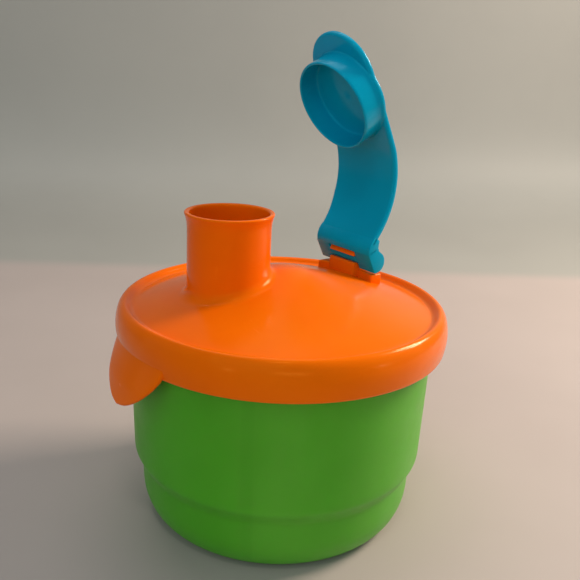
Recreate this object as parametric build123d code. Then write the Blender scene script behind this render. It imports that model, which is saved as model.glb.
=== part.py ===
from build123d import *
import math
import os

# Formula dispenser: a round cup with three powder compartments, a turning snap lid with a
# pouring spout, and a flip cap hinged on the lid.
# Frame: origin at the centre of the cup's foot, +Z up. The lid's pull tab points to -X and
# the flip cap's hinge lies on the +X side, with its axis along Y.

os.makedirs("parts", exist_ok=True)

# cup
cup_foot_r = 41.0
cup_low_r = 49.3
cup_step_low_r = 49.5
cup_step_low_z = 19.6
cup_step_high_r = 52.3
cup_step_high_z = 26.0
cup_neck_r = 53.1
cup_neck_z = 64.0
cup_top_z = 73.3
cup_bead_r = 54.7
cup_wall = 1.6
cup_floor = 2.0
rib_width = 1.2
rib_depth = 2.0

# divider
vane_thickness = 1.6
vane_clearance = 0.4
vane_angle = 102.7
hub_r = 3.6
lift_gap = 0.35

# lid
lid_lower_r = 57.2
lid_lower_z = 65.7
lid_r = 58.0
lid_mid_z = 70.8
crest_r = 55.0
crest_z = 78.7
groove_r = 52.6
groove_z = 76.5
lid_wall = 1.8
skirt_wall = 1.6
plug_outer_r = 51.0
plug_wall = 1.3
plug_low_z = 69.4

# dome heights at a few radii
dome_line = [(51.6, 76.7), (40.0, 80.05), (25.0, 84.35), (12.0, 87.95), (5.0, 89.75), (0.0, 90.2)]

# spout
spout_x = -19.5
arm_y = 5.8
spout_r = 14.1
spout_lip_r = 15.05
spout_top_z = 110.1
spout_bore_r = 13.3
spout_fillet = 2.6

# pull tab
tab_top_z = 70.0
tab_low_z = 53.0
tab_half_width = 17.0
tab_out_r = 63.5
tab_thickness = 2.0
tab_turn = -1.8

# hinge on the lid
pin_x = 35.2
pin_z = 89.0
pin_r = 2.35
hook_bore_r = 2.43
hook_r = 3.8
hook_half = 6.9
hook_foot_z = 86.2
mouth_low_z = 87.2
mouth_high_z = 89.8
pedestal_inner_r = 34.5
pedestal_x1 = 38.6
pedestal_near_y = -9.4
pedestal_far_y = 17.2
pedestal_top_z = 84.4

# flip cap, drawn shut over the spout, then swung open
cap_open_angle = 62.9
plate_low_z = 110.45
plate_thickness = 2.3
ring_r = 16.4
ring_bore_r = 15.4
ring_depth = 8.3
lip_r = 14.7
lip_offset = 8.4
strap_half = 15.5
strap_thickness = 2.4
ear_r = 4.0
block_low_z = 86.7
slot_half = 7.4
block_half = 14.8
block_shift = -0.7
foot_trim = 1.4


def half_plane_face(points_fn):
    """Closed profile in the X-Z plane, ready to turn about the Z axis."""
    with BuildSketch(Plane.XZ) as sk:
        with BuildLine():
            points_fn()
        make_face()
    return sk.sketch


def turned(points_fn):
    with BuildPart() as bp:
        add(half_plane_face(points_fn))
        revolve(axis=Axis.Z, revolution_arc=360)
    return bp.part


def box_at(x0, x1, y0, y1, z0, z1):
    shape = Box(x1 - x0, y1 - y0, z1 - z0)
    return Pos((x0 + x1) / 2, (y0 + y1) / 2, (z0 + z1) / 2) * shape


def cylinder_z(x, y, r, z0, z1):
    return Pos(x, y, (z0 + z1) / 2) * Cylinder(r, z1 - z0)


def cylinder_y(x, z, r, half):
    return Pos(x, arm_y, z) * Rot(90, 0, 0) * Cylinder(r, 2 * half)


# ---------------------------------------------------------------- cup

def cup_outline():
    foot = Polyline((0, 0), (cup_foot_r, 0))
    corner = Spline(foot @ 1, (45.4, 2.0), (48.1, 5.8), (cup_low_r, 10.4),
                    tangents=((1, 0), (0.03, 1)))
    low = Line(corner @ 1, (cup_step_low_r, cup_step_low_z))
    step = Spline(low @ 1, (50.0, 21.0), (51.75, 24.2), (cup_step_high_r, cup_step_high_z),
                  tangents=((0.05, 1), (0.05, 1)))
    neck = Line(step @ 1, (cup_neck_r, cup_neck_z))
    bead = Polyline(neck @ 1, (53.2, 68.4), (cup_bead_r, 70.2), (cup_bead_r, 71.0),
                    (53.5, 72.8), (53.0, cup_top_z), (52.0, cup_top_z), (51.6, 72.8))
    inner_top_r = cup_neck_r - cup_wall
    wall = Line(bead @ 1, (inner_top_r, cup_neck_z))
    inside = Line(wall @ 1, (cup_step_high_r - cup_wall, cup_step_high_z + 0.6))
    inner_step = Spline(inside @ 1, (50.1, 24.9), (48.4, 21.8), (cup_step_low_r - cup_wall, 20.2),
                        tangents=((-0.05, -1), (-0.05, -1)))
    lower = Line(inner_step @ 1, (47.7, 10.8))
    floor_corner = Spline(lower @ 1, (46.7, 6.9), (44.3, 3.6), (40.4, cup_floor),
                          tangents=((-0.03, -1), (-1, 0)))
    Polyline(floor_corner @ 1, (0, cup_floor), (0, 0))


def guide_ribs():
    """Pairs of upright ribs on the inside wall that hold each vane's outer edge."""
    offset = vane_thickness / 2 + vane_clearance + rib_width / 2
    ribs = None
    for k in range(3):
        for side in (-1, 1):
            low = box_at(47.0 - rib_depth, 48.2, -rib_width / 2, rib_width / 2, 9.0, 19.5)
            high = box_at(50.6 - rib_depth, 51.6, -rib_width / 2, rib_width / 2, 26.6, 62.0)
            pair = (low + high).moved(Location((0, side * offset, 0)))
            pair = pair.rotate(Axis.Z, vane_angle + 120 * k)
            ribs = pair if ribs is None else ribs + pair
    return ribs


cup_solid = turned(cup_outline)
container = cup_solid + guide_ribs()

# ---------------------------------------------------------------- divider

def dome_under(r):
    """Height of the dome's underside at a radius."""
    pts = sorted(dome_line)
    for (ra, za), (rb, zb) in zip(pts, pts[1:]):
        if r <= rb:
            return za + (zb - za) * (r - ra) / (rb - ra) - lid_wall
    return pts[-1][1] - lid_wall


def vane_outline():
    gap = 0.5
    low = cup_floor + lift_gap
    plug_in = plug_outer_r - plug_wall - 0.6
    points = [(0, low), (39.9 - gap, low), (43.7 - gap, 4.5), (46.2 - gap, 7.9),
              (47.4 - gap, 12.0), (47.7 - gap, 20.6), (49.6 - gap, 25.8), (50.5 - gap, 28.6),
              (51.1 - gap, 58.0), (51.2 - gap, 65.6), (plug_in, 68.2)]
    points.append((plug_in, dome_under(plug_in) - 0.7))
    for r in (40.0, 25.0, 12.0, 5.0):
        points.append((r, dome_under(r) - 0.7))
    points.append((0, dome_under(5.0) - 0.5))
    Polyline(*points, close=True)


def one_vane():
    with BuildPart() as bp:
        with BuildSketch(Plane.XZ):
            with BuildLine():
                vane_outline()
            make_face()
        extrude(amount=vane_thickness / 2, both=True)
    return bp.part


hub = cylinder_z(0, 0, hub_r, cup_floor + lift_gap, dome_under(5.0) - 0.9)
divider = hub
for k in range(3):
    divider = divider + one_vane().rotate(Axis.Z, vane_angle + 120 * k)

# ---------------------------------------------------------------- lid

def lid_outline():
    """Outside of rim and dome, closed straight down the axis."""
    skirt = Spline((lid_lower_r, lid_lower_z), (lid_r, lid_mid_z), (57.35, 75.3),
                   (crest_r, crest_z), (53.3, 77.7), (groove_r, groove_z),
                   tangents=((0.25, 1), (-0.55, -1)))
    dome = Spline(skirt @ 1, *dome_line, tangents=((-1, 0.12), (-1, 0)))
    Polyline(dome @ 1, (0, lid_lower_z), skirt @ 0)


def lid_inside():
    """Hollow under the dome and inside the rim."""
    low_r = lid_lower_r - skirt_wall
    skirt = Spline((low_r, lid_lower_z - 1.0), (lid_r - skirt_wall, lid_mid_z), (56.0, 74.3),
                   (54.6, 76.5), (52.8, 75.4), (51.4, 74.95),
                   tangents=((0.1, 1), (-1, 0.15)))
    under = [(r, z - lid_wall) for r, z in dome_line[1:]]
    dome = Spline(skirt @ 1, *under, tangents=((-1, 0.2), (-1, 0)))
    Polyline(dome @ 1, (0, lid_lower_z - 1.0), skirt @ 0)


def plug_outline():
    inner = plug_outer_r - plug_wall
    Polyline((inner, 76.2), (inner, plug_low_z + 0.5), (inner + 0.4, plug_low_z),
             (plug_outer_r - 0.4, plug_low_z), (plug_outer_r, plug_low_z + 0.5),
             (plug_outer_r, 75.9), close=True)


def spout_outline():
    base = Line((0, 76.0), (spout_r, 76.0))
    wall = Line(base @ 1, (spout_r, 103.5))
    flare = Spline(wall @ 1, (14.35, 107.0), (spout_lip_r, 109.5),
                   tangents=((0, 1), (0.35, 1)))
    lip = Spline(flare @ 1, (14.85, 109.95), (14.4, spout_top_z), tangents=((0, 1), (-1, 0)))
    Polyline(lip @ 1, (0, spout_top_z), base @ 0)


def tab_band():
    slope = (tab_out_r - 57.2) / (tab_top_z - tab_low_z)
    r_top = 57.2 - slope * 3.0
    r_low = tab_out_r + slope * 1.5
    z_top = tab_top_z + 3.0
    z_low = tab_low_z - 1.5
    Polyline((r_top - tab_thickness, z_top), (r_top, z_top), (r_low, z_low),
             (r_low - tab_thickness, z_low), close=True)


def tab_petal():
    with BuildPart() as bp:
        with BuildSketch(Plane.YZ):
            with BuildLine():
                side = Spline((-tab_half_width, tab_top_z), (-16.0, 63.6), (-10.8, 56.0),
                              (0, tab_low_z), (10.8, 56.0), (16.0, 63.6),
                              (tab_half_width, tab_top_z),
                              tangents=((0, -1), (0, 1)))
                Line(side @ 1, side @ 0)
            make_face()
        extrude(amount=-80)
    return bp.part


def hinge_base():
    """Raised pad for the hinge; its front edge is an arc round the lid's centre."""
    pad = box_at(25.0, pedestal_x1, pedestal_near_y, pedestal_far_y, 74.0, pedestal_top_z)
    pad = pad - cylinder_z(0, 0, pedestal_inner_r, 70.0, 90.0)
    pad = chamfer(pad.edges().group_by(Axis.Z)[-1], 0.5)
    return pad


def hinge_hook():
    foot = box_at(31.8, 39.2, arm_y - hook_half, arm_y + hook_half, 80.0, hook_foot_z)
    column = box_at(pin_x, pin_x + hook_r, arm_y - hook_half, arm_y + hook_half, 84.0, pin_z)
    collar = cylinder_y(pin_x, pin_z, hook_r, hook_half)
    body = foot + column + collar
    return body


puck = turned(lid_outline)
spout_axis = Location((spout_x, arm_y, 0))
spout_solid = turned(spout_outline).moved(spout_axis)
lid = puck + spout_solid


def runs_round_spout_foot(edge):
    """True for the closed edge where the spout's wall meets the dome."""
    middle = edge.center()
    from_axis = math.hypot(middle.X - spout_x, middle.Y - arm_y)
    return abs(from_axis - spout_r) < 1.0 and 79.0 < middle.Z < 92.0 and edge.length > 60.0


lid = fillet([e for e in lid.edges() if runs_round_spout_foot(e)], spout_fillet)
lid = lid + hinge_base() + hinge_hook()
lid = lid - turned(lid_inside)
lid = lid + turned(plug_outline)
lid = lid - cylinder_z(spout_x, arm_y, spout_bore_r, 60.0, spout_top_z + 5)
lid = lid - cylinder_y(pin_x, pin_z, hook_bore_r, hook_half + 1)
lid = lid - box_at(pin_x - 6, pin_x - 1.0, arm_y - hook_half - 1, arm_y + hook_half + 1,
                   mouth_low_z, mouth_high_z)
tab = turned(tab_band) & tab_petal()
tab = (tab - cylinder_z(0, 0, 56.9, 50, 80)).rotate(Axis.Z, tab_turn)
lid = lid + tab

# ---------------------------------------------------------------- flip cap

def strap_line():
    """Middle of the strap's thickness, from the plate down to the hinge block."""
    return [(-2.0, plate_low_z + 1.15), (5.0, 110.7), (10.0, 109.0), (14.2, 106.8),
            (18.0, 104.0), (21.4, 100.5), (24.3, 96.6), (26.6, 92.4), (27.9, 90.2)]


def strap():
    line = strap_line()
    half = strap_thickness / 2
    outer = []
    inner = []
    for i, (x, z) in enumerate(line):
        x0, z0 = line[max(i - 1, 0)]
        x1, z1 = line[min(i + 1, len(line) - 1)]
        d = math.hypot(x1 - x0, z1 - z0)
        nx, nz = -(z1 - z0) / d, (x1 - x0) / d
        outer.append((x + nx * half, z + nz * half))
        inner.append((x - nx * half, z - nz * half))
    with BuildPart() as bp:
        with BuildSketch(Plane.XZ.offset(-arm_y)):
            with BuildLine():
                top = Spline(*outer)
                end = Line(top @ 1, inner[-1])
                low = Spline(*reversed(inner))
                Line(low @ 1, top @ 0)
            make_face()
        extrude(amount=strap_half, both=True)
    return bp.part & strap_plan()


def strap_plan():
    """Outline of the strap from above; its far edge draws in towards the hinge."""
    near = arm_y - strap_half
    far = arm_y + strap_half
    with BuildPart() as bp:
        with BuildSketch(Plane.XY.offset(80.0)):
            Polygon((-10.0, near), (40.0, near), (40.0, far - foot_trim),
                    (27.0, far - foot_trim), (19.0, far), (-10.0, far), align=None)
        extrude(amount=40.0)
    return bp.part


def plate():
    disc = cylinder_z(spout_x, arm_y, ring_r, plate_low_z, plate_low_z + plate_thickness)
    lip = cylinder_z(spout_x - lip_offset, arm_y, lip_r, plate_low_z,
                     plate_low_z + plate_thickness)
    web = box_at(spout_x, -1.9, arm_y - strap_half, arm_y + strap_half, plate_low_z,
                 plate_low_z + plate_thickness)
    return disc + lip + web


def hinge_block():
    """Block at the strap's foot: front wall, two ears and the bar between them."""
    mid = arm_y + block_shift
    with BuildPart() as bp:
        with BuildSketch(Plane.XZ.offset(-mid)):
            Polygon((25.7, 91.8), (26.3, 90.3), (27.4, 88.7), (28.9, 87.4),
                    (30.7, block_low_z), (pin_x, block_low_z),
                    (pin_x, pin_z + 3.8), (31.4, 91.6), (29.4, 92.6), align=None)
        extrude(amount=block_half, both=True)
    barrel = cylinder_y(pin_x, pin_z, ear_r, block_half).moved(Location((0, block_shift, 0)))
    block = bp.part + barrel
    block = block - box_at(20, 50, mid - block_half - 1, mid + block_half + 1, 80, block_low_z)
    pocket = box_at(30.95, 45.0, arm_y - slot_half, arm_y + slot_half, 80.0, 99.0)
    block = block - pocket
    bar = cylinder_y(pin_x, pin_z, pin_r, slot_half + 1)
    return block + bar


ring = cylinder_z(spout_x, arm_y, ring_r, plate_low_z - ring_depth, plate_low_z + 0.5)
ring = ring - cylinder_z(spout_x, arm_y, ring_bore_r, plate_low_z - ring_depth - 1, plate_low_z)
flip_cap = plate() + ring + strap() + hinge_block()
swing = Axis((pin_x, arm_y, pin_z), (0, 1, 0))
flip_cap = flip_cap.rotate(swing, cap_open_angle)

# ---------------------------------------------------------------- files

nodes = {
    "container": container,
    "divider": divider,
    "lid": lid,
    "flip_cap": flip_cap,
}
for name, shape in nodes.items():
    export_step(shape, "parts/" + name + ".step")
    print(name, "solids", len(shape.solids()), "volume", round(shape.volume, 1), shape.bounding_box())
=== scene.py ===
import math
import bmesh
import bpy
from mathutils import Matrix, Vector

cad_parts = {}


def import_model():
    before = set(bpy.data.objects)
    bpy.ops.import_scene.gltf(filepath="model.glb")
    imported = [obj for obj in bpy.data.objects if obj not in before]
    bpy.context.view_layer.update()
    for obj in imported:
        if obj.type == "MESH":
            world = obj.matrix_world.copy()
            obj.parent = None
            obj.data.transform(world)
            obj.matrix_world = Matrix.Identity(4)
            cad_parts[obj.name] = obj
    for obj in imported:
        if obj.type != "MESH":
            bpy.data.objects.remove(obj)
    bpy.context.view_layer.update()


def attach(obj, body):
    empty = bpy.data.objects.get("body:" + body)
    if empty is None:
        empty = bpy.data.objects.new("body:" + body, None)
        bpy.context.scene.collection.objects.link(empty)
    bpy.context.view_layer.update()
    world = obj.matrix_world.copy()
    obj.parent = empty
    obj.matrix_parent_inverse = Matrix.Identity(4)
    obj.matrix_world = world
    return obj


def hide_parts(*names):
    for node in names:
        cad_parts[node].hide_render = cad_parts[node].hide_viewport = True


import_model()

MM = 0.001

# Sizes in millimetres, in the row frame: origin at the centre of the foot, +Z up,
# pull tab towards -X, cap hinge towards +X.
SPOUT = (-19.5, 5.8)
ARM_Y = 5.8
PIN = (35.2, 89.0)
BAR_R = 2.35
HOOK_R = 3.78
HOOK_BORE_R = 2.43
HOOK_HALF = 6.9
EAR_R = 4.0
BLOCK_MID_Y = ARM_Y - 0.7
BLOCK_HALF = 14.8
SLOT_HALF = 7.4
SPOUT_R = 14.1
SPOUT_BORE_R = 13.3
RING_R = 16.4
LIP_R = 14.7
LIP_OFFSET = 8.4
STRAP_HALF = 15.5
FOOT_TRIM = 1.4
DOME_WALL = 1.8
VANE_GAP = 2.55
OPEN = math.radians(62.9)
VANE_ANGLE = 102.7


# ------------------------------------------------------------------ curves

def smooth(points, steps=6):
    """Centripetal curve through 2-D points."""
    pts = [Vector(p) for p in points]
    pts = [2 * pts[0] - pts[1]] + pts + [2 * pts[-1] - pts[-2]]
    out = []
    for i in range(1, len(pts) - 2):
        p0, p1, p2, p3 = pts[i - 1:i + 3]
        t0 = 0.0
        t1 = t0 + max((p1 - p0).length, 1e-6) ** 0.5
        t2 = t1 + max((p2 - p1).length, 1e-6) ** 0.5
        t3 = t2 + max((p3 - p2).length, 1e-6) ** 0.5
        for k in range(steps):
            t = t1 + (t2 - t1) * k / steps
            a1 = p0 * ((t1 - t) / (t1 - t0)) + p1 * ((t - t0) / (t1 - t0))
            a2 = p1 * ((t2 - t) / (t2 - t1)) + p2 * ((t - t1) / (t2 - t1))
            a3 = p2 * ((t3 - t) / (t3 - t2)) + p3 * ((t - t2) / (t3 - t2))
            b1 = a1 * ((t2 - t) / (t2 - t0)) + a2 * ((t - t0) / (t2 - t0))
            b2 = a2 * ((t3 - t) / (t3 - t1)) + a3 * ((t - t1) / (t3 - t1))
            out.append(b1 * ((t2 - t) / (t2 - t1)) + b2 * ((t - t1) / (t2 - t1)))
    out.append(pts[-2])
    return [tuple(p) for p in out]


def rounded(corners, steps=5):
    """Polyline whose corners (x, y, radius) are turned into arcs."""
    out = []
    n = len(corners)
    for i, (x, y, r) in enumerate(corners):
        p = Vector((x, y))
        if r <= 0 or i in (0, n - 1):
            out.append((x, y))
            continue
        a = Vector(corners[i - 1][:2]) - p
        b = Vector(corners[i + 1][:2]) - p
        half = a.angle(b) / 2
        cut = min(r / math.tan(half), 0.49 * a.length, 0.49 * b.length)
        p0 = p + a.normalized() * cut
        p2 = p + b.normalized() * cut
        for k in range(steps + 1):
            t = k / steps
            out.append(tuple(p0 * (1 - t) ** 2 + p * (2 * t * (1 - t)) + p2 * t ** 2))
    return out


def between(a, b, n):
    """n points from a to b, leaving a out."""
    return [tuple(a[k] + (b[k] - a[k]) * i / n for k in range(len(a))) for i in range(1, n + 1)]


def lookup(table, v):
    for (a, fa), (b, fb) in zip(table, table[1:]):
        if v <= b:
            return fa + (fb - fa) * (v - a) / (b - a)
    return table[-1][1]


# ------------------------------------------------------------------ meshes

def mesh_object(name, verts, faces, sharp=None):
    me = bpy.data.meshes.new(name)
    me.from_pydata([tuple(c * MM for c in v) for v in verts], [], faces)
    me.update()
    bm = bmesh.new()
    bm.from_mesh(me)
    bmesh.ops.recalc_face_normals(bm, faces=bm.faces)
    bm.to_mesh(me)
    bm.free()
    me.shade_smooth()
    if sharp:
        me.set_sharp_from_angle(angle=math.radians(sharp))
    ob = bpy.data.objects.new(name, me)
    bpy.context.scene.collection.objects.link(ob)
    return ob


def ring_mesh(name, rows, closed=False, sharp=None):
    """Surface from rows of equal length; each row is a closed loop or a single pole point."""
    verts = []
    starts = []
    for row in rows:
        starts.append((len(verts), len(row)))
        verts.extend(row)
    faces = []
    pairs = list(zip(starts, starts[1:]))
    if closed:
        pairs.append((starts[-1], starts[0]))
    for (a, na), (b, nb) in pairs:
        n = max(na, nb)
        for i in range(n):
            j = (i + 1) % n
            if na == 1:
                faces.append((a, b + i, b + j))
            elif nb == 1:
                faces.append((a + i, b, a + j))
            else:
                faces.append((a + i, b + i, b + j, a + j))
    return mesh_object(name, verts, faces, sharp)


def turned(name, profile, n=160, centre=(0.0, 0.0), closed=False, shape=None, sharp=None):
    """Body of revolution about an upright axis; shape(r, z, angle) may alter the radius."""
    rows = []
    for r, z in profile:
        if r < 1e-4:
            rows.append([(centre[0], centre[1], z)])
            continue
        row = []
        for i in range(n):
            a = 2 * math.pi * i / n
            rr = shape(r, z, a) if shape else r
            row.append((centre[0] + rr * math.cos(a), centre[1] + rr * math.sin(a), z))
        rows.append(row)
    return ring_mesh(name, rows, closed, sharp)


def prism(name, outline, low, high, place, bevel=0.0, segments=3, sharp=35):
    """Outline (u, v) pushed from low to high; place(u, v, w) gives the point in space."""
    n = len(outline)
    verts = [place(u, v, low) for u, v in outline] + [place(u, v, high) for u, v in outline]
    faces = [tuple(range(n))[::-1], tuple(range(n, 2 * n))]
    faces += [(i, (i + 1) % n, n + (i + 1) % n, n + i) for i in range(n)]
    ob = mesh_object(name, verts, faces)
    if bevel:
        mod = ob.modifiers.new("edge", "BEVEL")
        mod.width = bevel * MM
        mod.segments = segments
        mod.limit_method = "ANGLE"
        mod.angle_limit = math.radians(25)
        mod.harden_normals = False
        settle(ob)
    ob.data.set_sharp_from_angle(angle=math.radians(sharp))
    return ob


def settle(ob):
    """Turn the object's modifiers into plain mesh."""
    dg = bpy.context.evaluated_depsgraph_get()
    me = bpy.data.meshes.new_from_object(ob.evaluated_get(dg))
    old = ob.data
    name = old.name
    ob.modifiers.clear()
    ob.data = me
    bpy.data.meshes.remove(old)
    me.name = name
    return ob


def join_shells(name, obs):
    """One object from several closed shells."""
    bm = bmesh.new()
    for ob in obs:
        bm.from_mesh(ob.data)
    me = bpy.data.meshes.new(name)
    bm.to_mesh(me)
    bm.free()
    out = bpy.data.objects.new(name, me)
    bpy.context.scene.collection.objects.link(out)
    for ob in obs:
        old = ob.data
        bpy.data.objects.remove(ob)
        bpy.data.meshes.remove(old)
    return out


def swing(p):
    """A point of the shut cap, moved to the open position about the hinge bar."""
    x, y, z = p
    dx, dz = x - PIN[0], z - PIN[1]
    c, s = math.cos(OPEN), math.sin(OPEN)
    return (PIN[0] + dx * c + dz * s, y, PIN[1] - dx * s + dz * c)


# ------------------------------------------------------------------ cup

def build_cup():
    outer = [(0.0, 0.0)]
    outer += between((0.0, 0.0), (40.2, 0.0), 8)
    outer += smooth([(40.2, 0.0), (43.3, 0.65), (45.4, 2.0), (47.05, 4.1), (48.25, 6.7),
                     (49.0, 9.4), (49.3, 12.2)], 5)[1:]
    outer += between(outer[-1], (49.46, 19.4), 6)
    outer += smooth([(49.46, 19.4), (49.6, 20.1), (50.15, 21.4), (51.0, 22.9), (51.75, 24.2),
                     (52.15, 25.3), (52.3, 26.6)], 5)[1:]
    outer += between(outer[-1], (53.05, 62.5), 22)
    outer += smooth([(53.05, 62.5), (53.15, 66.4), (53.3, 68.6), (54.0, 69.5), (54.6, 70.3),
                     (54.55, 71.1), (53.9, 72.1), (53.5, 72.8), (53.0, 73.22), (52.4, 73.28),
                     (51.85, 73.0), (51.6, 72.2)], 4)[1:]
    inner = smooth([(51.6, 72.2), (51.5, 64.0), (50.72, 28.2), (50.55, 26.3), (50.1, 24.9),
                    (49.3, 23.4), (48.4, 21.8), (48.0, 20.8), (47.88, 19.6)], 5)[1:]
    inner += between(inner[-1], (47.72, 11.2), 6)
    inner += smooth([(47.72, 11.2), (46.75, 7.0), (44.4, 3.65), (42.4, 2.4), (40.2, 2.0)], 5)[1:]
    inner += between(inner[-1], (0.0, 2.0), 8)

    def sink(r, z, a):
        """Faint sink marks on the outside, opposite each pair of guide ribs."""
        if z > 63 or r < lookup([(6, 47.6), (19, 48.9), (28, 51.6), (63, 52.4)], z):
            return r
        fade = lookup([(6, 0.0), (14, 1.0), (52, 1.0), (63, 0.0)], z) if z > 6 else 0.0
        depth = 0.0
        for k in range(3):
            d = (a - math.radians(VANE_ANGLE + 120 * k) + math.pi) % (2 * math.pi) - math.pi
            depth += math.exp(-((d * r) / 2.2) ** 2)
        return r - 0.03 * depth * fade

    cup = turned("cup_shell", outer + inner, n=256, shape=sink)
    shells = [cup]
    offset = 0.8 + 0.4 + 0.6
    for k in range(3):
        a = math.radians(VANE_ANGLE + 120 * k)
        ca, sa = math.cos(a), math.sin(a)
        for side in (-1, 1):
            for lo_r, hi_r, lo_z, hi_z in ((45.0, 48.2, 9.0, 19.5), (48.6, 51.6, 26.6, 62.0)):
                outline = [(lo_r, lo_z), (hi_r, lo_z), (hi_r, hi_z), (lo_r, hi_z)]

                def place(u, v, w):
                    return (u * ca - w * sa, u * sa + w * ca, v)
                mid = side * offset
                shells.append(prism("rib", outline, mid - 0.6, mid + 0.6, place, bevel=0.35))
    cup = join_shells("cup_body", shells)
    return cup


# ------------------------------------------------------------------ lid

DOME = [(0.0, 90.2), (2.5, 90.08), (5.0, 89.72), (8.0, 89.05), (12.0, 87.98), (18.0, 86.3),
        (25.0, 84.32), (32.0, 82.33), (40.0, 80.05), (46.0, 78.35), (51.6, 76.72), (53.0, 76.3)]
DOME_CURVE = smooth(DOME, 8)


def dome(r):
    return lookup(DOME_CURVE, r)


def build_lid():
    n = 320
    rim = smooth([(56.4, 65.62), (56.9, 65.6), (57.25, 66.0), (57.6, 67.6), (57.95, 70.4),
                  (57.95, 72.6), (57.6, 74.8), (56.95, 76.8), (56.05, 78.1), (55.1, 78.65),
                  (54.3, 78.5), (53.6, 77.95), (53.0, 77.35), (52.4, 76.95), (51.8, 76.8),
                  (51.2, 76.86)], 4)
    under_r = 49.7
    inside = smooth([(under_r, 75.6), (49.68, 73.4), (49.72, 70.2), (49.95, 69.55), (50.35, 69.4),
                     (50.75, 69.6), (50.98, 70.4), (51.0, 73.8), (51.5, 74.9), (52.6, 75.35),
                     (53.6, 75.9), (54.6, 76.5), (55.4, 75.7), (56.0, 74.3), (56.38, 71.0),
                     (56.0, 68.2), (55.65, 66.5), (55.75, 65.9), (56.1, 65.65)], 3)
    turn = [(math.cos(2 * math.pi * i / n), math.sin(2 * math.pi * i / n)) for i in range(n)]
    rows = []
    for r, z in rim:
        rows.append([(r * c, r * s, z) for c, s in turn])
    edge_r = rim[-1][0]
    foot_r, wall_r, rise = 17.3, SPOUT_R, 3.4
    steps = 36
    for k in range(1, steps + 1):
        t = k / steps
        row = []
        for c, s in turn:
            x = edge_r * c * (1 - t) + (SPOUT[0] + foot_r * c) * t
            y = edge_r * s * (1 - t) + (SPOUT[1] + foot_r * s) * t
            row.append((x, y, dome(math.hypot(x, y))))
        rows.append(row)

    def around(radius, fn):
        row = []
        for c, s in turn:
            x = SPOUT[0] + radius * c
            y = SPOUT[1] + radius * s
            row.append((x, y, fn(math.hypot(x, y))))
        return row

    for k in range(1, 11):
        t = k / 10
        row = []
        for c, s in turn:
            def height(rho):
                return dome(math.hypot(SPOUT[0] + rho * c, SPOUT[1] + rho * s))
            rho = foot_r * (1 - t) ** 2 + wall_r * 2 * t * (1 - t) + wall_r * t ** 2
            z0, z1 = height(foot_r), height(wall_r)
            z = z0 * (1 - t) ** 2 + z1 * 2 * t * (1 - t) + (z1 + rise) * t ** 2
            row.append((SPOUT[0] + rho * c, SPOUT[1] + rho * s, z))
        rows.append(row)
    base = rows[-1]
    for k in range(1, 11):
        t = k / 10
        rows.append([(x, y, z + (103.4 - z) * t) for x, y, z in base])
    mouth = smooth([(14.1, 103.4), (14.14, 105.2), (14.32, 107.0), (14.68, 108.5), (14.98, 109.35),
                    (15.02, 109.75), (14.8, 110.05), (14.35, 110.1), (13.75, 110.02), (13.42, 109.7),
                    (13.3, 109.1), (13.3, 107.0)], 3)[1:]
    for r, z in mouth:
        rows.append([(SPOUT[0] + r * c, SPOUT[1] + r * s, z) for c, s in turn])
    top = rows[-1]
    low = around(SPOUT_BORE_R, lambda r: dome(r) - DOME_WALL)
    for k in range(1, 9):
        t = k / 8
        rows.append([(x, y, z + (zl - z) * t) for (x, y, z), (_, _, zl) in zip(top, low)])
    for k in range(1, 19):
        t = k / 18
        row = []
        for c, s in turn:
            x = under_r * c * t + (SPOUT[0] + SPOUT_BORE_R * c) * (1 - t)
            y = under_r * s * t + (SPOUT[1] + SPOUT_BORE_R * s) * (1 - t)
            row.append((x, y, dome(math.hypot(x, y)) - DOME_WALL))
        rows.append(row)
    for r, z in inside:
        rows.append([(r * c, r * s, z) for c, s in turn])
    return ring_mesh("lid_shell", rows, closed=True)


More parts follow.
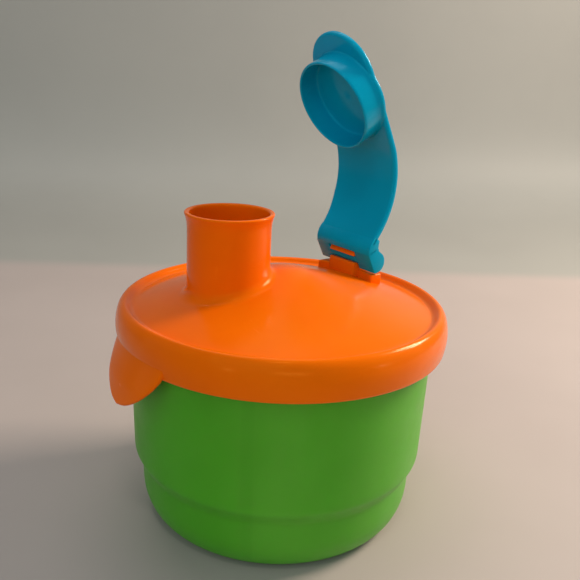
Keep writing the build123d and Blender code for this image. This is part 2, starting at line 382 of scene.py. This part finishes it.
def build_tab():
    """Petal-shaped pull tab that leaves the rim and flares out as it goes down."""
    rows_n = 30
    top_z, low_z = 70.6, 53.05
    turn = math.radians(-1.8)
    side = smooth([(0.0, 17.0), (0.18, 16.85), (0.42, 15.3), (0.64, 12.3), (0.82, 8.4),
                   (0.94, 4.4), (1.0, 0.0)], 6)

    def half_width(t):
        return lookup(side, t)

    def skin(t, u, inset):
        z = top_z + (low_z - top_z) * t
        r = lookup([(0.0, 57.3), (0.25, 58.9), (0.6, 61.4), (1.0, 63.4)], t) - inset
        x = -math.sqrt(max(r * r - u * u, 0.0))
        return (x * math.cos(turn) - u * math.sin(turn), x * math.sin(turn) + u * math.cos(turn), z)

    thick = 1.9
    edge = 0.75
    ts = [math.sin(math.pi / 2 * k / rows_n) for k in range(rows_n + 1)]
    rim_pts = [(t, -half_width(t)) for t in ts] + [(t, half_width(t)) for t in reversed(ts[:-1])]
    centre = (0.35, 0.0)

    def loop(shrink, inset):
        row = []
        for t, u in rim_pts:
            du = u
            dz = (t - centre[0]) * (top_z - low_z)
            d = math.hypot(du, dz)
            k = max(0.0, 1 - shrink / max(d, 1e-6))
            row.append(skin(centre[0] + (t - centre[0]) * k, u * k, inset))
        return row

    outer_side = []
    for k in range(0, 6):
        a = math.pi / 2 * k / 5
        outer_side.append((edge * (1 - math.cos(a)), thick / 2 - (thick / 2 - 0.0) * math.sin(a)))
    inner_side = [(s, thick - i) for s, i in outer_side]
    levels = list(reversed(inner_side)) + outer_side[1:]
    rows = [loop(s, i) for s, i in levels]
    verts = []
    faces = []
    m = len(rim_pts)
    for row in rows:
        verts.extend(row)
    for a in range(len(rows) - 1):
        for i in range(m - 1):
            faces.append((a * m + i, a * m + i + 1, (a + 1) * m + i + 1, (a + 1) * m + i))
        faces.append((a * m + m - 1, a * m, (a + 1) * m, (a + 1) * m + m - 1))

    def cap(start, inset, shrink):
        """Fill one skin with rows of quads from the left side to the right side."""
        half = m // 2
        prev = None
        for i in range(half + 1):
            left = start + i
            right = start + m - 1 - i
            if left == right:
                ids = [left]
            else:
                t, u = rim_pts[i]
                du, dz = u, (t - centre[0]) * (top_z - low_z)
                d = math.hypot(du, dz)
                k = max(0.0, 1 - shrink / max(d, 1e-6))
                tt, uu = centre[0] + (t - centre[0]) * k, u * k
                ids = [left]
                for j in range(1, 12):
                    verts.append(skin(tt, uu + (-2 * uu) * j / 12, inset))
                    ids.append(len(verts) - 1)
                ids.append(right)
            if prev:
                if len(ids) == 1:
                    for j in range(len(prev) - 1):
                        faces.append((prev[j], prev[j + 1], ids[0]))
                else:
                    for j in range(len(prev) - 1):
                        faces.append((prev[j], prev[j + 1], ids[j + 1], ids[j]))
            prev = ids

    cap(0, levels[0][1], levels[0][0])
    cap((len(rows) - 1) * m, levels[-1][1], levels[-1][0])
    return mesh_object("lid_tab", verts, faces)


def build_hinge_seat():
    """Pedestal on the dome with the hook that carries the cap's bar."""
    x1, y0, y1, top, front_r = 38.6, -9.4, 17.2, 84.4, 34.5
    a0, a1 = math.asin(y0 / front_r), math.asin(y1 / front_r)
    outline = []
    for k in range(13):
        a = a1 + (a0 - a1) * k / 12
        outline.append((front_r * math.cos(a), front_r * math.sin(a)))
    outline += [(x1, y0), (x1, y1)]
    pad = prism("lid_pedestal", outline, 79.25, top, lambda u, v, w: (u, v, w), bevel=0.6,
                segments=4)
    hook_outline = [(39.0, 80.2)]
    for k in range(0, 19):
        a = math.radians(167.7 * k / 18)
        hook_outline.append((PIN[0] + HOOK_R * math.cos(a), PIN[1] + HOOK_R * math.sin(a)))
    for k in range(0, 29):
        a = math.radians(160.8 - 293.0 * k / 28)
        hook_outline.append((PIN[0] + HOOK_BORE_R * math.cos(a),
                             PIN[1] + HOOK_BORE_R * math.sin(a)))
    hook_outline += [(32.1, 87.2), (31.86, 86.7), (31.8, 86.0), (31.8, 80.2)]

    def place(u, v, w):
        return (u, w, v)
    hook = prism("lid_hook", hook_outline, ARM_Y - HOOK_HALF, ARM_Y + HOOK_HALF, place,
                 bevel=0.3, sharp=30)
    return pad, hook


# ------------------------------------------------------------------ flip cap

PLATE_LOW = 110.45
STRAP = [(-2.0, 111.6), (1.5, 111.45), (5.0, 110.75), (10.0, 109.05), (14.2, 106.8), (18.0, 104.0),
         (21.4, 100.5), (24.3, 96.6), (26.6, 92.4), (27.9, 90.2)]


def build_plate():
    """Plate and curved strap in one piece, with rounded edges."""
    line = [(-46.0 + 44.0 * k / 30, 111.6) for k in range(30)] + smooth(STRAP, 5)
    lengths = [0.0]
    for a, b in zip(line, line[1:]):
        lengths.append(lengths[-1] + math.hypot(b[0] - a[0], b[1] - a[1]))

    def on_line(s):
        s = max(0.0, min(s, lengths[-1] - 1e-6))
        for i in range(len(line) - 1):
            if s <= lengths[i + 1]:
                f = (s - lengths[i]) / (lengths[i + 1] - lengths[i])
                (xa, za), (xb, zb) = line[i], line[i + 1]
                return xa + (xb - xa) * f, za + (zb - za) * f
        return line[-1]

    def frame_at(s):
        x, z = on_line(s)
        xa, za = on_line(s - 0.6)
        xb, zb = on_line(s + 0.6)
        d = math.hypot(xb - xa, zb - za)
        return x, z, -(zb - za) / d, (xb - xa) / d

    ring_s = SPOUT[0] + 46.0
    lip_s = ring_s - LIP_OFFSET
    end_s = lengths[-1]

    def width(s):
        lip = math.sqrt(max(LIP_R ** 2 - (s - lip_s) ** 2, 0.0))
        disc = math.sqrt(max(RING_R ** 2 - (s - ring_s) ** 2, 0.0))
        strap = STRAP_HALF if s > ring_s else 0.0
        a, b = max(disc, strap), lip
        k = 0.7
        h = max(k - abs(a - b), 0.0) / k
        return max(a, b) + h * h * k / 4

    tip_s = lip_s - LIP_R
    count = 46
    stations = [tip_s + LIP_R * (1 - math.cos(math.pi / 2 * k / count)) for k in range(count + 1)]
    s = stations[-1]
    while s < end_s - 0.8:
        s += 0.8
        stations.append(s)
    stations.append(end_s)
    outline = [(st, -width(st) if k else 0.0) for k, st in enumerate(stations)]
    outline += [(st, -y) for st, y in reversed(outline[1:])]
    m = len(outline)
    normals = []
    for i in range(m):
        pa, pb = Vector(outline[i - 1]), Vector(outline[(i + 1) % m])
        d = (pb - pa).normalized()
        normals.append(Vector((-d.y, d.x)))
    normals[0] = Vector((1.0, 0.0))
    last = len(stations) - 1
    normals[last] = Vector((0.0, 1.0))
    normals[last + 1] = Vector((0.0, -1.0))
    for i in range(m):
        inward = Vector((0.0, -1.0 if outline[i][1] > 0 else 1.0)) if abs(outline[i][1]) > 1 \
            else Vector((1.0, 0.0))
        if normals[i].dot(inward) < 0:
            normals[i] = -normals[i]

    half_t, edge = 1.18, 0.95

    def loop(shrink, t):
        row = []
        for (st, y), nrm in zip(outline, normals):
            q = Vector((st, y)) + nrm * shrink
            row.append((q.x, q.y, t))
        return row

    levels = []
    for k in range(7):
        a = math.pi / 2 * k / 6
        levels.append((edge * (1 - math.cos(a)), -(half_t - edge) - edge * math.sin(a)))
    bottom = list(reversed(levels))
    top = [(s_, -t_) for s_, t_ in levels]
    rows = [loop(s_, t_) for s_, t_ in bottom + top]
    verts = []
    faces = []
    for row in rows:
        verts.extend(row)
    for a in range(len(rows) - 1):
        for i in range(m):
            j = (i + 1) % m
            faces.append((a * m + i, a * m + j, (a + 1) * m + j, (a + 1) * m + i))

    across = 20

    def cap(row_index):
        start = row_index * m
        prev = None
        for i in range(last + 1):
            left = start + i
            right = start + (m - i) % m
            if i == 0:
                ids = [left]
            else:
                pl, pr = Vector(verts[left]), Vector(verts[right])
                ids = [left]
                for j in range(1, across):
                    verts.append(tuple(pl.lerp(pr, j / across)))
                    ids.append(len(verts) - 1)
                ids.append(right)
            if prev:
                if len(prev) == 1:
                    for j in range(len(ids) - 1):
                        faces.append((prev[0], ids[j], ids[j + 1]))
                else:
                    for j in range(len(prev) - 1):
                        faces.append((prev[j], ids[j], ids[j + 1], prev[j + 1]))
            prev = ids

    cap(0)
    cap(len(rows) - 1)
    placed = []
    for st, y, t in verts:
        x, z, nx, nz = frame_at(st)
        if y > 0 and x > 19.0:
            y -= FOOT_TRIM * min((x - 19.0) / 8.0, 1.0) * min(y / STRAP_HALF, 1.0)
        over = max(st - end_s, 0.0)
        placed.append(swing((x + nx * t, ARM_Y + y, z + nz * t - over)))
    return mesh_object("cap_plate", placed, faces)


def build_cap_ring():
    low = PLATE_LOW - 8.3
    outer = smooth([(15.62, low + 0.12), (15.9, low), (16.2, low + 0.12), (16.36, low + 0.5),
                    (16.4, low + 1.2)], 4)
    outer += between(outer[-1], (16.4, PLATE_LOW - 1.1), 5)
    outer += smooth([(16.4, PLATE_LOW - 1.1), (16.5, PLATE_LOW - 0.5), (16.85, PLATE_LOW - 0.05),
                     (17.2, PLATE_LOW + 0.25)], 4)[1:]
    outer += between(outer[-1], (0.0, PLATE_LOW + 0.6), 4)
    inner = between((0.0, PLATE_LOW + 0.6), (0.0, PLATE_LOW - 0.04), 1)
    inner += between(inner[-1], (14.2, PLATE_LOW - 0.04), 6)
    inner += smooth([(14.2, PLATE_LOW - 0.04), (14.9, PLATE_LOW - 0.2), (15.3, PLATE_LOW - 0.7),
                     (15.4, PLATE_LOW - 1.5)], 4)[1:]
    inner += between(inner[-1], (15.42, low + 0.7), 5)
    inner += smooth([(15.42, low + 0.7), (15.46, low + 0.35), (15.62, low + 0.12)], 3)[1:-1]
    ob = turned("cap_ring", outer + inner, n=160, centre=SPOUT, closed=True)
    for v in ob.data.vertices:
        v.co = Vector(swing(tuple(c / MM for c in v.co))) * MM
    ob.data.update()
    return ob


def build_cap_foot():
    """Block at the strap's foot: two ears, the slot between them and the hinge bar."""
    low = 86.7
    near, far = BLOCK_MID_Y - BLOCK_HALF, BLOCK_MID_Y + BLOCK_HALF

    def place(u, v, w):
        return swing((u, w, v))

    front = smooth([(25.7, 91.8), (26.3, 90.3), (27.4, 88.7), (28.9, 87.4), (30.7, low)], 3)
    ear = [(30.2, 90.0), (30.2, 87.6), (30.72, low), (38.45, low)]
    a0 = math.asin((low - PIN[1]) / EAR_R)
    for k in range(0, 15):
        a = a0 + (math.radians(115) - a0) * k / 14
        ear.append((PIN[0] + EAR_R * math.cos(a), PIN[1] + EAR_R * math.sin(a)))
    ear += [(31.6, 91.6), (30.6, 91.9)]
    obs = []
    for lo, hi, tag in ((near, ARM_Y - SLOT_HALF, "a"), (ARM_Y + SLOT_HALF, far, "b")):
        obs.append(prism("cap_ear_" + tag, ear, lo, hi, place, bevel=0.45, segments=4, sharp=40))
    wall = front + [(30.95, low), (30.95, 90.4), (30.4, 92.0), (29.4, 92.6), (28.4, 93.4),
                    (27.2, 93.0)]
    obs.append(prism("cap_heel", wall, near, far, place, bevel=0.3, sharp=40))
    bar = []
    for k in range(40):
        a = 2 * math.pi * k / 40
        bar.append((PIN[0] + BAR_R * math.cos(a), PIN[1] + BAR_R * math.sin(a)))
    obs.append(prism("cap_bar", bar, ARM_Y - 9.0, ARM_Y + 9.0, place, bevel=0.0, sharp=40))
    return obs


# ------------------------------------------------------------------ divider

def build_divider():
    gap = 0.5
    low = 2.35
    edge = [(1.0, low, 0.0), (40.8 - gap, low, 1.0), (44.6 - gap, 4.3, 1.5), (46.7 - gap, 7.4, 1.5),
            (47.5 - gap, 11.0, 1.5), (47.7 - gap, 17.6, 2.0), (49.6 - gap, 25.4, 2.0),
            (50.5 - gap, 28.6, 1.5), (51.1 - gap, 58.0, 2.0), (51.2 - gap, 65.6, 1.5),
            (49.1, 68.2, 1.0)]
    edge.append((49.1, dome(49.1) - VANE_GAP, 1.0))
    for r in (40.0, 25.0, 12.0, 5.0):
        edge.append((r, dome(r) - VANE_GAP, 0.0))
    edge.append((1.0, dome(3.0) - 2.7, 0.0))
    outline = rounded(edge, 4)
    shells = []
    for k in range(3):
        a = math.radians(VANE_ANGLE + 120 * k)
        ca, sa = math.cos(a), math.sin(a)

        def place(u, v, w):
            return (u * ca - w * sa, u * sa + w * ca, v)
        shells.append(prism("vane", outline, -0.8, 0.8, place, bevel=0.3))
    top = dome(3.5) - 2.7
    hub = rounded([(0.0, low, 0), (3.6, low, 0.6), (3.6, top - 0.2, 0.8), (0.0, top, 0)], 4)
    shells.append(turned("hub", hub, n=48, sharp=40))
    return join_shells("divider_body", shells)


# ------------------------------------------------------------------ materials

class Nodes:
    def __init__(self, name):
        self.mat = bpy.data.materials.new(name)
        self.mat.use_nodes = True
        self.tree = self.mat.node_tree
        self.tree.nodes.clear()
        self.out = self.add("ShaderNodeOutputMaterial")
        self.bsdf = self.add("ShaderNodeBsdfPrincipled")
        self.link(self.bsdf, "BSDF", self.out, "Surface")
        self.coord = self.add("ShaderNodeTexCoord")

    def add(self, kind, **values):
        node = self.tree.nodes.new(kind)
        for key, value in values.items():
            if hasattr(node, key):
                setattr(node, key, value)
            else:
                node.inputs[key.replace("_", " ")].default_value = value
        return node

    def link(self, a, out, b, inp):
        self.tree.links.new(a.outputs[out], b.inputs[inp])

    def noise(self, scale, detail=3.0, rough=0.5, stretch=None):
        tex = self.add("ShaderNodeTexNoise")
        tex.inputs["Scale"].default_value = scale
        tex.inputs["Detail"].default_value = detail
        tex.inputs["Roughness"].default_value = rough
        if stretch:
            mapping = self.add("ShaderNodeMapping")
            mapping.inputs["Scale"].default_value = stretch
            self.link(self.coord, "Object", mapping, "Vector")
            self.link(mapping, "Vector", tex, "Vector")
        else:
            self.link(self.coord, "Object", tex, "Vector")
        return tex

    def remap(self, source, out, a, b, lo, hi):
        node = self.add("ShaderNodeMapRange")
        node.inputs["From Min"].default_value = a
        node.inputs["From Max"].default_value = b
        node.inputs["To Min"].default_value = lo
        node.inputs["To Max"].default_value = hi
        self.link(source, out, node, "Value")
        return node

    def math(self, op, a, b=None):
        node = self.add("ShaderNodeMath")
        node.operation = op
        for i, v in enumerate((a, b)):
            if v is None:
                continue
            if isinstance(v, (int, float)):
                node.inputs[i].default_value = v
            else:
                self.tree.links.new(v, node.inputs[i])
        return node.outputs[0]

    def mix(self, factor, a, b, blend="MIX"):
        node = self.add("ShaderNodeMix")
        node.data_type = "RGBA"
        node.blend_type = blend
        for name, v in ((0, factor), (6, a), (7, b)):
            if isinstance(v, (tuple, float, int)):
                node.inputs[name].default_value = v
            else:
                self.tree.links.new(v, node.inputs[name])
        return node.outputs[2]


def moulded(name, base, deep, pale, rough, sss, sss_scale, radius, gleam, coat=0.0, grain=0.35):
    """Injection-moulded plastic: cloudy tint, fine orange peel, hairline scuffs, and a painted
    highlight that makes sharp edges paler.
    """
    n = Nodes(name)
    b = n.bsdf
    cloud = n.noise(26.0, 4.0, 0.55)
    cloudy = n.remap(cloud, "Fac", 0.35, 0.65, 0.0, 1.0)
    tint = n.mix(cloudy.outputs[0], deep, base)
    flow = n.noise(9.0, 5.0, 0.6, (1.0, 1.0, 0.25))
    streak = n.remap(flow, "Fac", 0.45, 0.62, 0.0, 0.35)
    tint = n.mix(streak.outputs[0], tint, pale)
    # Painted highlight: sharp convex edges are mixed, in patches, towards the pale colour. This
    # stands in for the sheen that light leaves along edges.
    geo = n.add("ShaderNodeNewGeometry")
    painted_edge_sheen = n.remap(geo, "Pointiness", 0.52, 0.60, 0.0, 0.30)
    patch = n.noise(180.0, 3.0, 0.7)
    patchy = n.remap(patch, "Fac", 0.42, 0.62, 0.0, 1.0)
    patchy_edge_sheen = n.math("MULTIPLY", painted_edge_sheen.outputs[0], patchy.outputs[0])
    tint = n.mix(patchy_edge_sheen, tint, pale)
    n.tree.links.new(tint, b.inputs["Base Color"])

    fine = n.noise(95.0, 5.0, 0.65)
    gloss = n.remap(fine, "Fac", 0.3, 0.7, rough - 0.05, rough + 0.06)
    scuff = n.noise(60.0, 8.0, 0.75, (14.0, 1.0, 1.6))
    hair = n.remap(scuff, "Fac", 0.62, 0.70, 0.0, 0.12)
    roughness = n.math("ADD", gloss.outputs[0], hair.outputs[0])
    n.tree.links.new(roughness, b.inputs["Roughness"])

    peel = n.noise(420.0, 2.0, 0.5)
    slow = n.noise(38.0, 2.0, 0.4)
    height = n.math("ADD", n.math("MULTIPLY", peel.outputs["Fac"], 0.25),
                    n.math("MULTIPLY", slow.outputs["Fac"], 1.0))
    height = n.math("SUBTRACT", height, n.math("MULTIPLY", hair.outputs[0], 0.4))
    bump = n.add("ShaderNodeBump")
    bump.inputs["Strength"].default_value = grain
    bump.inputs["Distance"].default_value = 0.00018
    n.tree.links.new(height, bump.inputs["Height"])
    n.link(bump, "Normal", b, "Normal")

    b.inputs["IOR"].default_value = 1.49
    b.inputs["Specular IOR Level"].default_value = 0.30
    b.inputs["Specular Tint"].default_value = gleam
    b.inputs["Subsurface Weight"].default_value = sss
    b.inputs["Subsurface Scale"].default_value = sss_scale
    b.inputs["Subsurface Radius"].default_value = radius
    b.inputs["Coat Weight"].default_value = coat
    b.inputs["Coat Roughness"].default_value = 0.12
    return n


def orange_plastic():
    n = moulded("orange_moulded", (0.97, 0.160, 0.0012, 1), (0.92, 0.142, 0.001, 1),
                (1.0, 0.20, 0.006, 1), 0.17, 0.06, 0.003, (1.0, 0.30, 0.04),
                (1.0, 0.34, 0.04, 1), grain=0.3)
    return n.mat


def teal_plastic():
    n = moulded("teal_moulded", (0.0, 0.365, 0.56, 1), (0.0, 0.335, 0.52, 1),
                (0.01, 0.43, 0.60, 1), 0.17, 0.06, 0.003, (0.05, 0.7, 1.0),
                (0.12, 0.75, 1.0, 1), grain=0.3)
    return n.mat


def green_plastic():
    """Natural-tinted polypropylene: satin and cloudy, with painted shade lines where the ribs sit
    inside the wall.
    """
    n = moulded("green_moulded", (0.085, 0.42, 0.020, 1), (0.075, 0.375, 0.016, 1),
                (0.17, 0.50, 0.06, 1), 0.40, 0.50, 0.010, (0.35, 1.0, 0.18),
                (0.65, 1.0, 0.35, 1), grain=0.4)
    b = n.bsdf
    source = b.inputs["Base Color"].links[0].from_socket
    split = n.add("ShaderNodeSeparateXYZ")
    n.link(n.coord, "Object", split, "Vector")
    angle = n.math("ARCTAN2", split.outputs["Y"], split.outputs["X"])
    # Painted shade: darker vertical bands at the three rib angles. They stand in for the ribs' shade
    # seen through the translucent wall.
    painted_rib_shade = None
    for k in range(3):
        d = n.math("SUBTRACT", angle, math.radians(VANE_ANGLE + 120 * k))
        d = n.math("COSINE", d)
        line = n.add("ShaderNodeMapRange")
        line.interpolation_type = "SMOOTHERSTEP"
        line.inputs["From Min"].default_value = math.cos(2.6 / 52.0)
        line.inputs["From Max"].default_value = 1.0
        line.inputs["To Min"].default_value = 0.0
        line.inputs["To Max"].default_value = 0.16
        n.tree.links.new(d, line.inputs["Value"])
        painted_rib_shade = line.outputs[0] if painted_rib_shade is None else n.math("ADD", painted_rib_shade, line.outputs[0])
    shade = n.mix(painted_rib_shade, source, (0.05, 0.30, 0.01, 1))
    n.tree.links.new(shade, b.inputs["Base Color"])
    return n.mat


def divider_plastic():
    n = moulded("divider_moulded", (0.12, 0.55, 0.03, 1), (0.10, 0.49, 0.025, 1),
                (0.25, 0.70, 0.12, 1), 0.40, 0.45, 0.006, (0.35, 1.0, 0.18),
                (0.65, 1.0, 0.35, 1), grain=0.4)
    return n.mat


def dress(ob, mat, body, slot, *nodes):
    ob.data.materials.clear()
    ob.data.materials.append(mat)
    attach(ob, body)
    if nodes:
        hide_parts(*nodes)


# ------------------------------------------------------------------ build

orange = orange_plastic()
teal = teal_plastic()
green = green_plastic()
inner_green = divider_plastic()

dress(build_cup(), green, "container", "cup_green", "container")
dress(build_divider(), inner_green, "divider", "divider_green", "divider")
dress(build_lid(), orange, "lid", "lid_orange", "lid")
dress(build_tab(), orange, "lid", "lid_orange")
for piece in build_hinge_seat():
    dress(piece, orange, "lid", "lid_orange")
dress(build_plate(), teal, "flip_cap", "cap_teal", "flip_cap")
dress(build_cap_ring(), teal, "flip_cap", "cap_teal")
for piece in build_cap_foot():
    dress(piece, teal, "flip_cap", "cap_teal")


# ------------------------------------------------------------------ stage

def floor_sweep():
    """Pale table that curves up into a plain backdrop."""
    fwd = Vector((0.5587, 0.8294))
    side = Vector((fwd.y, -fwd.x))
    path = [(-1.6, 0.0), (-0.6, 0.0), (0.3, 0.0), (0.44, 0.0), (0.52, 0.012), (0.57, 0.06),
            (0.58, 0.2), (0.58, 0.8), (0.58, 2.6)]
    verts = []
    for d, z in path:
        for w in (-3.0, 3.0):
            p = fwd * d + side * w
            verts.append((p.x / MM, p.y / MM, z / MM))
    faces = [(2 * i, 2 * i + 1, 2 * i + 3, 2 * i + 2) for i in range(len(path) - 1)]
    ob = mesh_object("studio_floor", verts, faces)
    sub = ob.modifiers.new("smooth", "SUBSURF")
    sub.levels = 3
    sub.render_levels = 3
    n = Nodes("floor_paint")
    speck = n.noise(7.0, 4.0, 0.6)
    tone = n.remap(speck, "Fac", 0.3, 0.7, 0.0, 1.0)
    near = n.mix(tone.outputs[0], (0.455, 0.385, 0.355, 1), (0.485, 0.410, 0.380, 1))
    far = n.mix(tone.outputs[0], (0.355, 0.348, 0.318, 1), (0.375, 0.368, 0.336, 1))
    split = n.add("ShaderNodeSeparateXYZ")
    n.link(n.coord, "Object", split, "Vector")
    depth = n.math("ADD", n.math("MULTIPLY", split.outputs["X"], 0.5587),
                   n.math("MULTIPLY", split.outputs["Y"], 0.8294))
    band = n.add("ShaderNodeMapRange")
    band.interpolation_type = "SMOOTHSTEP"
    band.inputs["From Min"].default_value = 0.292
    band.inputs["From Max"].default_value = 0.322
    n.tree.links.new(depth, band.inputs["Value"])
    colour = n.mix(band.outputs[0], near, far)
    n.tree.links.new(colour, n.bsdf.inputs["Base Color"])
    rough = n.remap(speck, "Fac", 0.3, 0.7, 0.52, 0.62)
    n.tree.links.new(rough.outputs[0], n.bsdf.inputs["Roughness"])
    ob.data.materials.append(n.mat)


def area_light(name, place, aim, size, power, colour):
    data = bpy.data.lights.new(name, "AREA")
    data.shape = "RECTANGLE"
    data.size, data.size_y = size
    data.energy = power
    data.color = colour
    ob = bpy.data.objects.new(name, data)
    ob.location = place
    ob.rotation_euler = (Vector(aim) - Vector(place)).to_track_quat("-Z", "Y").to_euler()
    bpy.context.scene.collection.objects.link(ob)
    return ob


def camera():
    data = bpy.data.cameras.new("view")
    data.lens = 720.0 * 36.0 / 580.0
    data.sensor_width = 36.0
    data.clip_start = 0.01
    ob = bpy.data.objects.new("view", data)
    right = Vector((0.7918, -0.60901, 0.04662)).normalized()
    back = -Vector((0.59195, 0.74633, -0.3043)).normalized()
    up = back.cross(right).normalized()
    right = up.cross(back).normalized()
    rot = Matrix((right, up, back)).transposed().to_4x4()
    ob.matrix_world = Matrix.Translation(Vector((-0.14851, -0.19087, 0.15874))) @ rot
    bpy.context.scene.collection.objects.link(ob)
    bpy.context.scene.camera = ob


def world():
    w = bpy.data.worlds.new("studio")
    bpy.context.scene.world = w
    w.use_nodes = True
    bg = w.node_tree.nodes["Background"]
    bg.inputs["Color"].default_value = (0.76, 0.88, 0.97, 1)
    bg.inputs["Strength"].default_value = 0.32


floor_sweep()
area_light("key", (0.60, -0.19, 0.50), (0, 0, 0.06), (0.26, 0.26), 6.5, (1.0, 0.86, 0.72))
area_light("top", (0.1, 0.35, 1.1), (0, 0, 0.05), (0.8, 0.8), 3.5, (1.0, 0.97, 0.94))
area_light("fill", (-0.9, -0.5, 0.6), (0, 0, 0.08), (0.9, 0.9), 2.1, (0.80, 0.98, 1.0))
area_light("glint", (-0.24, -0.30, 0.72), (0, 0, 0.07), (0.12, 0.05), 0.35, (1.0, 0.97, 0.92))
area_light("window", (-0.50, -0.82, 0.16), (0, 0, 0.08), (0.36, 0.04), 0.42, (1.0, 0.98, 0.95))
area_light("lamp_right", (0.42, -0.80, 0.10), (0, 0, 0.08), (0.07, 0.04), 0.12, (1.0, 0.98, 0.95))
area_light("lamp_left", (-0.85, -0.33, 0.10), (0, 0, 0.08), (0.09, 0.03), 0.12, (1.0, 0.98, 0.95))
camera()
world()
scene = bpy.context.scene
scene.view_settings.view_transform = "Standard"
